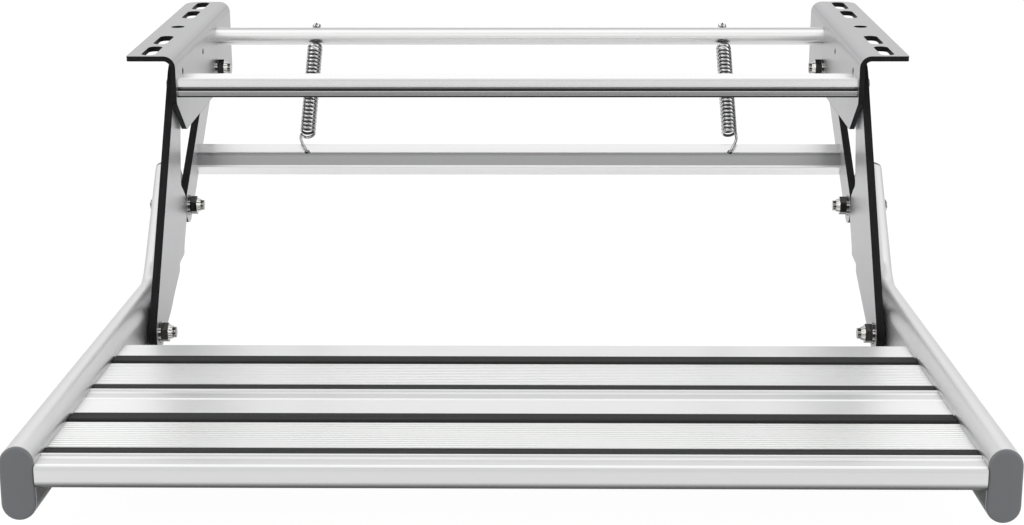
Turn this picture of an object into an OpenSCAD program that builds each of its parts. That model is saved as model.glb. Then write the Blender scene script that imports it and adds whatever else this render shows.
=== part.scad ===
// Caravan entry step, manual swing-under type, shown let down for use.
// X runs across the doorway, Y from the step nosing back under the floor, Z up.
// The origin is midway between the two mounting flanges, on their top faces.
// Each side is a four-bar linkage: bracket, outer arm, side tube and inner arm.

/* [Step] */
// Length of the tread between the two side tubes
tread_len = 550; // [420:5:700]
// Depth of one tread plank, front to back
plank_w = 125; // [110:1:160]
// Thickness of a tread plank
plank_t = 15; // [13:0.5:18]
// Skin thickness of a tread plank
plank_skin = 2; // [1.5:0.1:3]
// Distance from the lower arm pivot forward to the back of the tread
tread_setback = 87; // [72:1:110]
// Depth of the tread top below the top of the side tubes
tread_inset = 10.5; // [8:0.5:14]
// Fall of the tread towards the back, in degrees
tread_fall = 3; // [0:0.5:6]

/* [Rubber strips] */
// Width of the wide rubber strip near the back of each plank
wide_strip_w = 16.5; // [12:0.5:18]
// Width of the narrow rubber strip behind each nosing
narrow_strip_w = 11.5; // [8:0.5:13]
// Depth of the grooves that hold the rubber strips
strip_depth = 2.5; // [2:0.1:3.5]
// Height of the wide strips above the plank
strip_proud = 1; // [0.5:0.1:1.5]

/* [Side tubes] */
// Height of the flat oval tube
tube_h = 45; // [40:1:50]
// Width of the flat oval tube
tube_w = 20.5; // [18:0.5:24]
// Wall of the flat oval tube
tube_wall = 2; // [1.5:0.1:3]
// Radius of the bend on the tube axis
bend_r = 52; // [46:1:60]
// Height of the tube axis above the lower pivot
tube_rise = 3.5; // [0:0.5:5]
// Angle that the rear leg of the tube makes with the tread, in degrees
leg_angle = 48; // [44:1:54]
// Length of the rear leg past the upper pivot
leg_past_pivot = 26; // [24:1:32]
// Thickness of the plastic end caps outside the tube
cap_t = 3; // [2:0.5:5]
// Depth of the cap plugs inside the tube
cap_plug = 12; // [8:1:20]

/* [Linkage] */
// Distance of the front pivot behind the front end of the bracket
front_pivot_in = 39; // [37:1:43]
// Place of the front pivot along Z
front_pivot_z = -29; // [-34:0.5:-27]
// Distance of the rear pivot before the rear end of the bracket
rear_pivot_in = 83; // [75:1:89]
// Place of the rear pivot along Z
rear_pivot_z = -44.7; // [-48:0.1:-42]
// How far the outer arm reaches forward of the front pivot
outer_reach = 126; // [122:1:132]
// How far the outer arm reaches below the front pivot
outer_drop = 164.5; // [160:0.5:170]
// How far the inner arm reaches forward of the rear pivot
inner_reach = 132; // [128:1:136]
// How far the inner arm reaches below the rear pivot
inner_drop = 87.8; // [84:0.1:92]
// Thickness of the arms
arm_t = 6; // [5:0.5:8]
// Radius of the outer arm round the front pivot
outer_top_r = 18; // [16:0.5:20]
// Radius of the outer arm round the lower pivot
outer_end_r = 14; // [12:0.5:16]
// Radius of both ends of the inner arm
inner_end_r = 14; // [12:0.5:15]
// Gap at the stop between the outer arm and the end of the inner arm
stop_gap = 0.3; // [0.2:0.1:1]

/* [Brackets] */
// Length of a bracket, front to back
bracket_len = 270; // [264:2:300]
// Height of the bracket side plate below the flange top
bracket_drop = 65; // [62:1:72]
// Thickness of the bracket sheet
bracket_t = 4; // [3:0.5:5]
// Inside radius of the bracket bend
bracket_bend = 5; // [4:0.5:8]
// Width of the flange, from the inner face of the side plate
flange_w = 37.5; // [35:0.5:50]
// Distance of the mounting holes from the free edge of the flange
hole_edge = 15.5; // [14:0.5:20]
// Diameter of the round mounting hole and width of the slots
hole_d = 11; // [8:0.5:12]
// Overall length of a mounting slot
slot_len = 38; // [30:1:40]
// Distance of the outer slots from the ends of the flange
slot_end = 5; // [4:1:12]
// Distance from the inner slots to the outer slots
slot_step = 48; // [44:1:50]

/* [Cross bars] */
// Depth of the front and inner cross bars
bar_w = 22; // [20:0.5:24]
// Height of the front and inner cross bars
bar_h = 15; // [14:0.5:16]
// Distance of the front bar behind the front edge of the bracket
bar_inset = 3.5; // [2:0.5:4]
// Height of the front bar top below the flange top
bar_below = 18; // [16:0.5:20]
// Diameter of the rear cross rod
rod_d = 15; // [12:0.5:18]
// Distance of the rear rod before the rear end of the bracket
rod_in = 77; // [71:1:81]
// Place of the rear rod along Z
rod_z = -18; // [-20:0.5:-16]
// How far the inner bar lies forward of the rear pivot
inner_bar_reach = 80.4; // [78:0.1:83]
// How far the inner bar lies below the rear pivot
inner_bar_drop = 62; // [60.3:0.1:63.3]
// Tilt of the inner bar, in degrees
inner_bar_tilt = 50; // [40:1:56]

/* [Springs] */
// Outside diameter of the spring coils
spring_od = 12.8; // [11:0.1:14]
// Diameter of the spring wire
wire_d = 2.4; // [1.8:0.1:3]
// Number of turns in each spring
spring_turns = 24; // [18:1:26]
// Distance of the springs from the middle of the step
spring_x = 176; // [140:1:220]

/* [Fasteners] */
// Diameter of the pivot bolts
bolt_d = 8; // [6:1:8]
// Width across the flats of the pivot nuts
hex_af = 13; // [12:1:14]
// Thickness of the steel washers
washer_t = 1.6; // [1.2:0.1:2]
// Thickness of the plastic washers between arm and tube
slip_washer_t = 1.5; // [1:0.1:2.5]
// Thickness of the plastic washers between bracket and arm
bush_washer_t = 1; // [0.8:0.1:2]
// Radial clearance of a bolt in its hole
bolt_fit = 0.1; // [0.05:0.01:0.1]
// Diameter of the screws in the cross bars and the tread
screw_d = 5; // [4:0.5:5.5]

/* [Hidden] */
$fn = 48;

// Faces of the parts of one side, counted outwards from the middle
tube_in = tread_len / 2;
tube_out = tube_in + tube_w;
arm_out = tube_in - slip_washer_t;
arm_in = arm_out - arm_t;
plate_out = arm_in - bush_washer_t;
plate_in = plate_out - bracket_t;
flange_out = plate_in + flange_w;

// Ends of the brackets along Y
bracket_front = -bracket_len / 2;
bracket_back = bracket_len / 2;

// Pivots as [Y, Z]
front_pivot = [bracket_front + front_pivot_in, front_pivot_z];
rear_pivot = [bracket_back - rear_pivot_in, rear_pivot_z];
lower_pivot = front_pivot - [outer_reach, outer_drop];
upper_pivot = rear_pivot - [inner_reach, inner_drop];
inner_bar_at = rear_pivot - [inner_bar_reach, inner_bar_drop];
rod_y = bracket_back - rod_in;

// The upper pivot seen in the frame of the step, whose origin is the lower pivot
upper_in_step = turn(upper_pivot - lower_pivot, tread_fall);
// Where the axes of the two legs of the tube cross, along the lower leg
corner_u = upper_in_step[0] - (upper_in_step[1] - tube_rise) / tan(leg_angle);
leg_to_pivot = (upper_in_step[1] - tube_rise) / sin(leg_angle);
bend_tangent = bend_r * tan(leg_angle / 2);
leg_len = leg_to_pivot + leg_past_pivot - bend_tangent;
tread_rise = tube_rise + tube_h / 2 - tread_inset;
tread_front_u = -tread_setback - 2 * plank_w;
tube_front_u = tread_front_u + cap_t;
// The straight lengths of tube run a little into the bend, a hair thicker than it
tube_lap = 0.2;
tube_grow = 0.005;

// Fastener sizes
hex_d = hex_af / cos(30);
washer_d = 2 * bolt_d;
head_d = 1.75 * bolt_d;
head_t = 0.55 * bolt_d;
head_rim = 0.5;
dome_r = (head_d * head_d / 4 + head_t * head_t) / (2 * head_t);
socket_d = 0.72 * bolt_d;
nut_t = bolt_d;
nut_hex_t = 0.65 * nut_t;
nut_collar_d = 0.86 * hex_af;
bolt_past_nut = 2.5;
pivot_hole_d = bolt_d + 2 * bolt_fit;
csk_d = 2 * screw_d;
csk_t = 0.5 * screw_d;
screw_hole_d = screw_d + 0.6;
screw_bite = 14;
pan_d = 1.9 * screw_d;
pan_t = 0.6 * screw_d;
low_head_t = slip_washer_t - 0.4;
end_gap = 0.05;

// The cross bars
bar_round = 1.2;
slot_open = 3.3;
slot_land = 6.5;
slot_room = 6;
slot_lip = 2.2;
rebate = 1;
bar_screw_u = bar_w * 0.62;
bar_front_y = bracket_front + bar_inset;
inner_screw_u = [bar_w * 0.24, bar_w * 0.76];
hook_hole_d = wire_d + 1.6;

// The tread planks
nose_r = 3;
lip_r = 5;
back_r = 1.5;
wide_strip_at = 30;
nose_len = 20;
nose_fall = 0.5;
ridge_r = 1.2;
narrow_strip_at = plank_w - nose_len - narrow_strip_w;
flute_w = 1;
flute_depth = 0.5;
flute_pitch = 3.5;
port_w = 9;
plank_screws = [wide_strip_at + wide_strip_w / 2, narrow_strip_at + narrow_strip_w / 2];
port_below = (plank_t + strip_depth) / 2;
strip_side_gap = 0.2;

// The springs
wire_r = wire_d / 2;
coil_r = spring_od / 2 - wire_r;
knob_h = 1.8 * wire_d;
knob_r = 1.3 * wire_d;
knob_gap = 0.3;
hook_u = 0.16 * bar_w;
coil_steps = 12;
wire_sides = 6;

// Turns a [Y, Z] pair by an angle about X
function turn(p, a) = [p[0] * cos(a) - p[1] * sin(a), p[0] * sin(a) + p[1] * cos(a)];

// Points of an arc from angle a to angle b
function arc(c, r, a, b, n = 10) =
    [for (i = [0:n]) c + r * [cos(a + (b - a) * i / n), sin(a + (b - a) * i / n)]];

function heading(v) = atan2(v[1], v[0]);
function unit(v) = v / norm(v);

// Angle at the centre of circle c where the tangent from point p touches, on side s
function touch(c, r, p, s) = heading(p - c) + s * acos(r / norm(p - c));

// One corner of an outline, rounded to radius r as far as the shorter side allows
function corner(a, p, b, r, n = 6) =
    let (
        u = unit(a - p),
        v = unit(b - p),
        half = acos(u * v) / 2,
        reach = min(r / tan(half), 0.45 * norm(a - p), 0.45 * norm(b - p)),
        rr = reach * tan(half),
        c = p + unit(u + v) * rr / sin(half),
        from = heading(p + u * reach - c),
        to = heading(p + v * reach - c),
        swing = to - from > 180 ? to - from - 360 : to - from < -180 ? to - from + 360 : to - from
    )
    arc(c, rr, from, from + swing, n);

// An outline with each corner rounded to its own radius
function rounded(pts, radii) = [
    for (i = [0:len(pts) - 1])
        each radii[i] > 0
            ? corner(pts[(i + len(pts) - 1) % len(pts)], pts[i], pts[(i + 1) % len(pts)], radii[i])
            : [pts[i]]
];

// A flat shape drawn in Y and Z, from x over a thickness t
module yz(x, t) {
    translate([x, 0, 0]) rotate([90, 0, 90]) linear_extrude(t) children();
}

// A round bar along X
module x_round(at, x, len, d) {
    translate([x, at[0], at[1]]) rotate([0, 90, 0]) cylinder(d = d, h = len);
}

// A hexagon along X
module x_hex(at, x, len, d) {
    translate([x, at[0], at[1]]) rotate([0, 90, 0]) cylinder(d = d, h = len, $fn = 6);
}

// The same thing on the right and on the left
module both_sides() {
    children();
    mirror([1, 0, 0]) children();
}

// The right-hand part, or its mirror image on the left
module on_side(side) {
    mirror([side < 0 ? 1 : 0, 0, 0]) children();
}

// The frame of the step: along Y the lower leg of the tube, origin on the lower pivot
module step_frame() {
    translate([0, lower_pivot[0], lower_pivot[1]]) rotate([-tread_fall, 0, 0]) children();
}

module slot(width, len) {
    translate([0, (len - width) / 2]) circle(d = width);
    translate([0, -(len - width) / 2]) circle(d = width);
    square([width, len - width], center = true);
}

// Section of the bent bracket sheet, in X and Z
module bracket_section() {
    bend_c = [plate_out + bracket_bend, -bracket_t - bracket_bend];
    bend_out = bracket_bend + bracket_t;
    translate([plate_in, -bracket_drop]) square([bracket_t, bracket_drop - bend_out]);
    translate([bend_c[0], -bracket_t]) square([flange_out - bend_c[0], bracket_t]);
    translate(bend_c) intersection() {
        difference() {
            circle(r = bend_out);
            circle(r = bracket_bend);
        }
        translate([-bend_out, 0]) square(bend_out);
    }
}

// Outline that the side plate is cut to, in Y and Z
module bracket_side_outline() {
    front = bracket_front;
    back = bracket_back;
    nose_back = 35;
    nose_up = 28;
    polygon(rounded(
        [
            [front, 1], [front, nose_up - bracket_drop], [front + nose_back, -bracket_drop],
            [back, -bracket_drop], [back, 1]
        ],
        [0, 4, 4, 8, 0]
    ));
}

// Outline that the flange is cut to, in X and Y
module bracket_flange_outline() {
    half = bracket_len / 2;
    polygon(rounded(
        [[plate_in - 1, -half], [flange_out, -half], [flange_out, half], [plate_in - 1, half]],
        [0, 2.5, 13, 0]
    ));
}

module bracket(side) {
    hole_x = flange_out - hole_edge;
    outer_slot = bracket_back - slot_end - slot_len / 2;
    inner_slot = outer_slot - slot_step;
    rivet_d = 4;
    on_side(side) difference() {
        intersection() {
            translate([0, bracket_len / 2, 0]) rotate([90, 0, 0])
                linear_extrude(bracket_len) bracket_section();
            yz(plate_in - 1, flange_w + 2) bracket_side_outline();
            translate([0, 0, -bracket_drop - 1]) linear_extrude(bracket_drop + 2) bracket_flange_outline();
        }
        translate([hole_x, 0, -bracket_t - 1]) cylinder(d = hole_d, h = bracket_t + 2);
        for (y = [-outer_slot, -inner_slot, inner_slot, outer_slot])
            translate([hole_x, y, -bracket_t - 1]) linear_extrude(bracket_t + 2) slot(hole_d, slot_len);
        x_round(front_pivot, plate_in - 1, bracket_t + 2, pivot_hole_d);
        x_round(rear_pivot, plate_in - 1, bracket_t + 2, pivot_hole_d);
        for (p = [[-11.7, -18.7], [bracket_front + 30.5, -17.1]]) x_round(p, plate_in - 1, bracket_t + 2, rivet_d);
        for (p = cross_bar_screws_at()) countersink(p, plate_out);
    }
}

// Screw hole whose countersink opens outwards at x
module countersink(at, x) {
    x_round(at, x - bracket_t - 1, bracket_t + 2, screw_hole_d);
    translate([x - csk_t, at[0], at[1]]) rotate([0, 90, 0])
        cylinder(d1 = screw_hole_d, d2 = csk_d + 0.2, h = csk_t);
    x_round(at, x, 2, csk_d + 0.2);
}

// Places of the screws in the front bar and the rear rod, as [Y, Z]
function cross_bar_screws_at() = [[bar_front_y + bar_screw_u, -bar_below - bar_h / 2], [rod_y, rod_z]];

// Places of the screws in the inner bar, as [Y, Z]
function inner_bar_screws_at() =
    [for (u = inner_screw_u) inner_bar_at + turn([u - bar_w / 2, 0], inner_bar_tilt)];

// Section of the front bar, from its front face back and from its underside up
module front_bar_section() {
    lip_z = bar_h - slot_land - slot_open;
    difference() {
        polygon(rounded(
            [
                [0, bar_h], [0, lip_z - 2.4], [rebate, lip_z - 2.6], [rebate, 0],
                [bar_w, 0], [bar_w, bar_h]
            ],
            [bar_round, 0, 0, 0.6, bar_round, bar_round]
        ));
        translate([-1, lip_z]) square([slot_lip + 1.1, slot_open]);
        translate([slot_lip, lip_z - 1.2]) square([3.6, slot_room]);
        translate([bar_screw_u, bar_h / 2]) circle(d = screw_d);
    }
}

module front_cross_bar() {
    color("gainsboro") translate([-plate_in, bar_front_y, -bar_below - bar_h])
        rotate([90, 0, 90]) linear_extrude(2 * plate_in) front_bar_section();
}

// The solid rod that the springs hang from, with a hole for each hook
module rear_cross_rod() {
    color("whitesmoke") difference() {
        x_round([rod_y, rod_z], -plate_in, 2 * plate_in, rod_d);
        both_sides() {
            x_round([rod_y, rod_z], plate_in - screw_bite - 2, screw_bite + 3, screw_d);
            translate([spring_x, rod_y, rod_z]) rotate([heading(spring_pull()) - 90, 0, 0])
                cylinder(d = hook_hole_d, h = 2 * rod_d, center = true);
        }
    }
}

// Section of the inner bar about its middle, its wide face up
module inner_bar_section() {
    step_at = 0.1 * bar_w;
    half_w = bar_w / 2;
    half_h = bar_h / 2;
    difference() {
        polygon(rounded(
            [[-half_w, -half_h], [half_w, -half_h], [half_w, half_h], [-half_w, half_h]],
            [bar_round, bar_round, bar_round, 0.6]
        ));
        translate([step_at, half_h - rebate]) square([half_w - step_at + 1, 2]);
        translate([step_at, half_h - 2]) square([1.2, 2]);
        for (u = inner_screw_u) translate([u - bar_w / 2, 0]) circle(d = screw_d);
        translate([-1.8, -bar_h / 2 + 2]) square([3, bar_h - 6]);
    }
}

module inner_cross_bar() {
    hook = hook_end();
    color("gainsboro") difference() {
        translate([-arm_in, inner_bar_at[0], inner_bar_at[1]]) rotate([inner_bar_tilt, 0, 0])
            rotate([90, 0, 90]) linear_extrude(2 * arm_in) inner_bar_section();
        both_sides() translate([spring_x, hook[0], hook[1]]) rotate([inner_bar_tilt, 0, 0])
            translate([0, 0, -bar_h / 2]) cylinder(d = hook_hole_d, h = bar_h);
    }
}

// Countersunk screw along X, its head flush with x and its point inwards
module csk_screw(at, x) {
    x_round(at, x - bracket_t - screw_bite, bracket_t + screw_bite - csk_t, screw_d);
    translate([x - csk_t, at[0], at[1]]) rotate([0, 90, 0]) cylinder(d1 = screw_d, d2 = csk_d, h = csk_t);
}

// Button head screw along X, its head standing on x and its point inwards
module button_screw(at, x, len, head) {
    x_round(at, x - len, len, screw_d);
    difference() {
        translate([x, at[0], at[1]]) rotate([0, 90, 0]) cylinder(d1 = pan_d, d2 = 0.7 * pan_d, h = head);
        x_hex(at, x + head / 2, head, 0.6 * screw_d);
    }
}

module cross_bar_screws() {
    color("silver") both_sides() for (p = cross_bar_screws_at()) csk_screw(p, plate_out);
}

module inner_bar_screws() {
    color("silver") both_sides()
        for (p = inner_bar_screws_at()) button_screw(p, arm_out, arm_t + screw_bite, low_head_t);
}

module washer(at, x, t, d) {
    difference() {
        x_round(at, x, t, d);
        x_round(at, x - 1, t + 2, pivot_hole_d);
    }
}

// Bolt with its domed socket head standing on x and its shank running inwards to x_end
module pivot_bolt(at, x, x_end) {
    difference() {
        translate([x, at[0], at[1]]) rotate([0, 90, 0]) rotate_extrude() polygon(dome_profile());
        x_hex(at, x + 0.45 * head_t, head_t, socket_d);
    }
    x_round(at, x_end, x - x_end, bolt_d);
}

// Half section of a domed head: radius and height above its seat, with a short rim
function dome_profile() =
    let (
        c = [0, head_t - dome_r],
        dome = arc(c, dome_r, asin((head_rim - c[1]) / dome_r), 72, 6)
    )
    concat([[0, 0], [dome[0][0], 0]], dome, [[0, dome[6][1]]]);

// Locking nut, standing inwards from x, with its round collar
module lock_nut(at, x) {
    difference() {
        union() {
            x_hex(at, x - nut_hex_t, nut_hex_t, hex_d);
            translate([x - nut_t, at[0], at[1]]) rotate([0, 90, 0])
                cylinder(d1 = 0.86 * nut_collar_d, d2 = nut_collar_d, h = nut_t - nut_hex_t);
        }
        x_round(at, x - nut_t - 1, nut_t + 2, pivot_hole_d);
    }
}

module front_pivot_bolts() {
    color("silver") both_sides()
        pivot_bolt(front_pivot, arm_out, plate_in - washer_t - nut_t - bolt_past_nut);
}

module rear_pivot_bolts() {
    color("silver") both_sides()
        pivot_bolt(rear_pivot, arm_out, plate_in - washer_t - nut_t - bolt_past_nut);
}

module bracket_nuts() {
    color("lightgray") both_sides() for (p = [front_pivot, rear_pivot]) lock_nut(p, plate_in - washer_t);
}

module bracket_washers() {
    color("silver") both_sides() for (p = [front_pivot, rear_pivot])
        washer(p, plate_in - washer_t, washer_t, washer_d);
}

module bracket_slip_washers() {
    color("dimgray") both_sides() for (p = [front_pivot, rear_pivot])
        washer(p, plate_out, bush_washer_t, 1.2 * washer_d);
}

// Outline of the outer arm: two pivot ends, a straight front edge and a lobe behind
// that comes against the end of the inner arm when the step is down
module outer_arm_outline() {
    span = lower_pivot - front_pivot;
    front_side = heading(span) - acos((outer_top_r - outer_end_r) / norm(span));
    stop_y = upper_pivot[0] - inner_end_r - stop_gap;
    waist = front_pivot + [-5, -36];
    neck = [stop_y - 17.2, front_pivot[1] - 79];
    shelf = [stop_y - 8, upper_pivot[1] + 18];
    stop_top = [stop_y, upper_pivot[1] + 11];
    stop_foot = [stop_y, upper_pivot[1] - 7];
    lobe_back = [stop_y - 16, upper_pivot[1] - 26];
    lobe_foot = [stop_y - 17.5, upper_pivot[1] - 32];
    heel = [stop_y - 39, upper_pivot[1] - 33.5];
    toe = heel + [-1, -6];
    top_touch = touch(front_pivot, outer_top_r, waist, 1);
    foot_touch = touch(lower_pivot, outer_end_r, toe, -1);
    polygon(concat(
        arc(front_pivot, outer_top_r, front_side, top_touch - 360, 24),
        rounded(
            [
                front_pivot + outer_top_r * [cos(top_touch), sin(top_touch)],
                waist, neck, shelf, stop_top, stop_foot, lobe_back, lobe_foot, heel, toe,
                lower_pivot + outer_end_r * [cos(foot_touch), sin(foot_touch)]
            ],
            [0, 30, 5, 3, 4, 12, 10, 3, 2.5, 4, 0]
        ),
        arc(lower_pivot, outer_end_r, foot_touch, front_side - 360 * (front_side > foot_touch ? 1 : 0), 20)
    ));
}

module outer_arm(side) {
    color("darkgray") on_side(side) difference() {
        yz(arm_in, arm_t) outer_arm_outline();
        x_round(front_pivot, arm_in - 1, arm_t + 2, pivot_hole_d);
        x_round(lower_pivot, arm_in - 1, arm_t + 2, pivot_hole_d);
    }
}

// The frame of an inner arm: along Y from the rear pivot to the upper pivot
module inner_arm_frame() {
    span = upper_pivot - rear_pivot;
    translate([0, rear_pivot[0], rear_pivot[1]]) rotate([heading(span), 0, 0]) children();
}

// The inner arm is a straight bar with two round ends
module inner_arm(side) {
    reach = norm(upper_pivot - rear_pivot);
    color("darkgray") on_side(side) difference() {
        inner_arm_frame() yz(arm_in, arm_t) difference() {
            translate([reach / 2, 0]) flat_oval(reach + 2 * inner_end_r, 2 * inner_end_r);
            circle(d = pivot_hole_d);
            translate([reach, 0]) circle(d = pivot_hole_d);
        }
        for (p = inner_bar_screws_at()) x_round(p, arm_in - 1, arm_t + 2, screw_hole_d);
    }
}

// Flat oval, its long side along the first axis
module flat_oval(long, wide) {
    for (s = [-1, 1]) translate([s * (long - wide) / 2, 0]) circle(d = wide);
    square([long - wide, wide], center = true);
}

// Section of the tube, with both faces moved outwards by grow
module tube_section(grow = 0) {
    difference() {
        flat_oval(tube_h + 2 * grow, tube_w + 2 * grow);
        flat_oval(tube_h - 2 * tube_wall - 2 * grow, tube_w - 2 * tube_wall - 2 * grow);
    }
}

// A straight length of tube along Y in the frame of the step, from its start
module straight_tube(len) {
    rotate([-90, 0, 0]) rotate([0, 0, 90]) linear_extrude(len) children();
}

// The frame of the right-hand tube: as the frame of the step, but on the axis of the tube
module tube_frame() {
    step_frame() translate([tube_in + tube_w / 2, 0, tube_rise]) children();
}

// The frame of the rear leg of the tube, at the end of the bend
module leg_frame() {
    translate([0, corner_u, 0]) rotate([leg_angle, 0, 0]) translate([0, bend_tangent, 0]) children();
}

module side_tube(side) {
    color("whitesmoke") on_side(side) difference() {
        tube_frame() {
            translate([0, tube_front_u, 0]) straight_tube(corner_u - bend_tangent - tube_front_u + tube_lap)
                tube_section(tube_grow);
            translate([0, corner_u - bend_tangent, bend_r]) rotate([90, 0, 90]) rotate([0, 0, -90])
                rotate_extrude(angle = leg_angle, $fn = 96) translate([bend_r, 0]) tube_section();
            leg_frame() translate([0, -tube_lap, 0])
                straight_tube(leg_len + tube_lap) tube_section(tube_grow);
        }
        x_round(lower_pivot, tube_in - 1, tube_w + 2, pivot_hole_d);
        x_round(upper_pivot, tube_in - 1, tube_w + 2, pivot_hole_d);
        step_frame() for (p = tread_screws_at()) x_round(p, tube_in - 1, tube_w + 2, screw_hole_d);
    }
}

// Places of the tread screws in the frame of the step, as [Y, Z]
function tread_screws_at() = [
    for (back = [-tread_setback, -tread_setback - plank_w]) for (p = plank_screws)
        [back - p, tread_rise - port_below]
];

// Section of a plank: along the first axis forward from its back edge, its top at zero
module plank_section() {
    floor_z = -plank_t + plank_skin;
    mid_web = (plank_screws[0] + plank_screws[1]) / 2;
    flute_from = wide_strip_at + wide_strip_w + 3;
    flute_count = floor((narrow_strip_at - flute_from - 2) / flute_pitch);
    difference() {
        union() {
            polygon(rounded(
                [[0, 0], [0, -plank_t], [plank_w, -plank_t], [plank_w, -nose_fall], [plank_w - 9, 0]],
                [back_r, back_r, lip_r, nose_r, 2]
            ));
            translate([plank_w - nose_len + 0.4 + ridge_r, -0.2]) circle(r = ridge_r);
        }
        translate([wide_strip_at, -strip_depth]) square([wide_strip_w, strip_depth + 1]);
        translate([narrow_strip_at, -strip_depth]) square([narrow_strip_w, strip_depth + 1]);
        for (i = [0:flute_count]) translate([flute_from + i * flute_pitch, -flute_depth])
            square([flute_w, flute_depth + 1]);
        for (p = plank_screws) translate([p, -port_below]) circle(d = screw_d);
        plank_room(plank_skin + 0.5, plank_screws[0] - port_w / 2, floor_z);
        plank_room(plank_screws[0] + port_w / 2, mid_web - plank_skin / 2, floor_z);
        plank_room(mid_web + plank_skin / 2, plank_screws[1] - port_w / 2, floor_z);
        plank_room(plank_screws[1] + port_w / 2, plank_w - plank_skin - 2, floor_z);
    }
}

// One hollow of the plank between two webs
module plank_room(from, to, floor_z) {
    top = -plank_skin - flute_depth - (strip_depth - plank_skin);
    polygon(rounded([[from, floor_z], [to, floor_z], [to, top - 0.5], [from, top - 0.5]], [1, 1, 1, 1]));
}

// A profile laid along the tread, its first axis forward from the back edge of a plank
module along_tread(back_u, len) {
    step_frame() translate([-len / 2, back_u, tread_rise]) mirror([0, 1, 0])
        rotate([90, 0, 90]) linear_extrude(len) children();
}

module tread_plank(index) {
    color("gainsboro") along_tread(-tread_setback - index * plank_w, tread_len - 2 * end_gap)
        plank_section();
}

module wide_strip(index) {
    w = wide_strip_w - 2 * strip_side_gap;
    lap = 3;
    color("dimgray") along_tread(-tread_setback - index * plank_w, tread_len - 1)
        translate([wide_strip_at + strip_side_gap, -strip_depth]) polygon([
            [0, 0], [w, 0], [w, strip_depth - 0.6], [w - lap, strip_depth - 0.6],
            [w - lap, strip_depth + strip_proud - 0.3], [w - lap - 0.5, strip_depth + strip_proud],
            [0.5, strip_depth + strip_proud], [0, strip_depth + strip_proud - 0.5]
        ]);
}

module narrow_strip(index) {
    w = narrow_strip_w - 2 * strip_side_gap;
    proud = 0.3;
    color("dimgray") along_tread(-tread_setback - index * plank_w, tread_len - 1)
        translate([narrow_strip_at + strip_side_gap, -strip_depth]) polygon([
            [0, 0], [w, 0], [w, strip_depth], [w - 0.4, strip_depth + proud],
            [0.4, strip_depth + proud], [0, strip_depth]
        ]);
}

// Plastic cap with its plug along +Y and its face towards -Y
module cap_body() {
    edge = 0.8;
    plug_gap = 0.15;
    translate([0, -cap_t, 0]) straight_tube(edge) flat_oval(tube_h - 2 * edge, tube_w - 2 * edge);
    translate([0, edge - cap_t, 0]) straight_tube(cap_t - edge) flat_oval(tube_h - 0.4, tube_w - 0.4);
    straight_tube(cap_plug) difference() {
        flat_oval(tube_h - 2 * tube_wall - 2 * plug_gap, tube_w - 2 * tube_wall - 2 * plug_gap);
        flat_oval(tube_h - 2 * tube_wall - 5, tube_w - 2 * tube_wall - 5);
    }
}

module front_cap(side) {
    color("gray") on_side(side) tube_frame() translate([0, tube_front_u, 0]) cap_body();
}

module leg_cap(side) {
    color("gray") on_side(side) tube_frame() leg_frame()
        translate([0, leg_len, 0]) mirror([0, 1, 0]) cap_body();
}

module tread_screws() {
    color("silver") both_sides() step_frame()
        for (p = tread_screws_at()) button_screw(p, tube_out, tube_w + screw_bite, pan_t);
}

module lower_pivot_bolts() {
    color("silver") both_sides()
        pivot_bolt(lower_pivot, tube_out, arm_in - washer_t - nut_t - bolt_past_nut);
}

// The upper pivot is open between tube and inner arm: the head end stays in the tube
module upper_pivot_bolts() {
    color("silver") both_sides() pivot_bolt(upper_pivot, tube_out, tube_in);
}

// The threaded end of the upper pivot, held in the inner arm
module upper_pivot_studs() {
    from = arm_in - washer_t - nut_t - bolt_past_nut;
    color("silver") both_sides() x_round(upper_pivot, from, arm_out + 0.8 * slip_washer_t - from, bolt_d);
}

module upper_nuts() {
    color("lightgray") both_sides() lock_nut(upper_pivot, arm_in - washer_t);
}

module upper_washers() {
    color("silver") both_sides() washer(upper_pivot, arm_in - washer_t, washer_t, washer_d);
}

module upper_slip_washers() {
    color("dimgray") both_sides() washer(upper_pivot, arm_out, 0.8 * slip_washer_t, 1.2 * washer_d);
}

module lower_nuts() {
    color("lightgray") both_sides() lock_nut(lower_pivot, arm_in - washer_t);
}

module lower_washers() {
    color("silver") both_sides() washer(lower_pivot, arm_in - washer_t, washer_t, washer_d);
}

module lower_slip_washers() {
    color("dimgray") both_sides() washer(lower_pivot, arm_out, slip_washer_t - 2 * end_gap, 1.2 * washer_d);
}

// A point of the inner bar as [Y, Z]: u along its wide face towards the back, v out of that face
function on_bar(u, v) = inner_bar_at + turn([u, v], inner_bar_tilt);

// Where the hook of a spring enters the rebated face of the inner bar
function hook_end() = on_bar(hook_u, bar_h / 2 - rebate);

// Where the wire leaves the coil for that hook, clear of the edge of the bar
function hook_start() = on_bar(bar_w / 2 + 2.5, bar_h / 2 + 3);

// Direction from the rod to the lower hook of a spring
function spring_pull() = unit(hook_start() - [rod_y, rod_z]);

// The knob on the upper end of a spring wire, as [distance above the rod, radius]
function knob_steps() = [
    [knob_gap + knob_h, 0.7 * knob_r], [knob_gap + 0.8 * knob_h, knob_r],
    [knob_gap + 0.2, knob_r], [knob_gap, wire_r]
];

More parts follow.
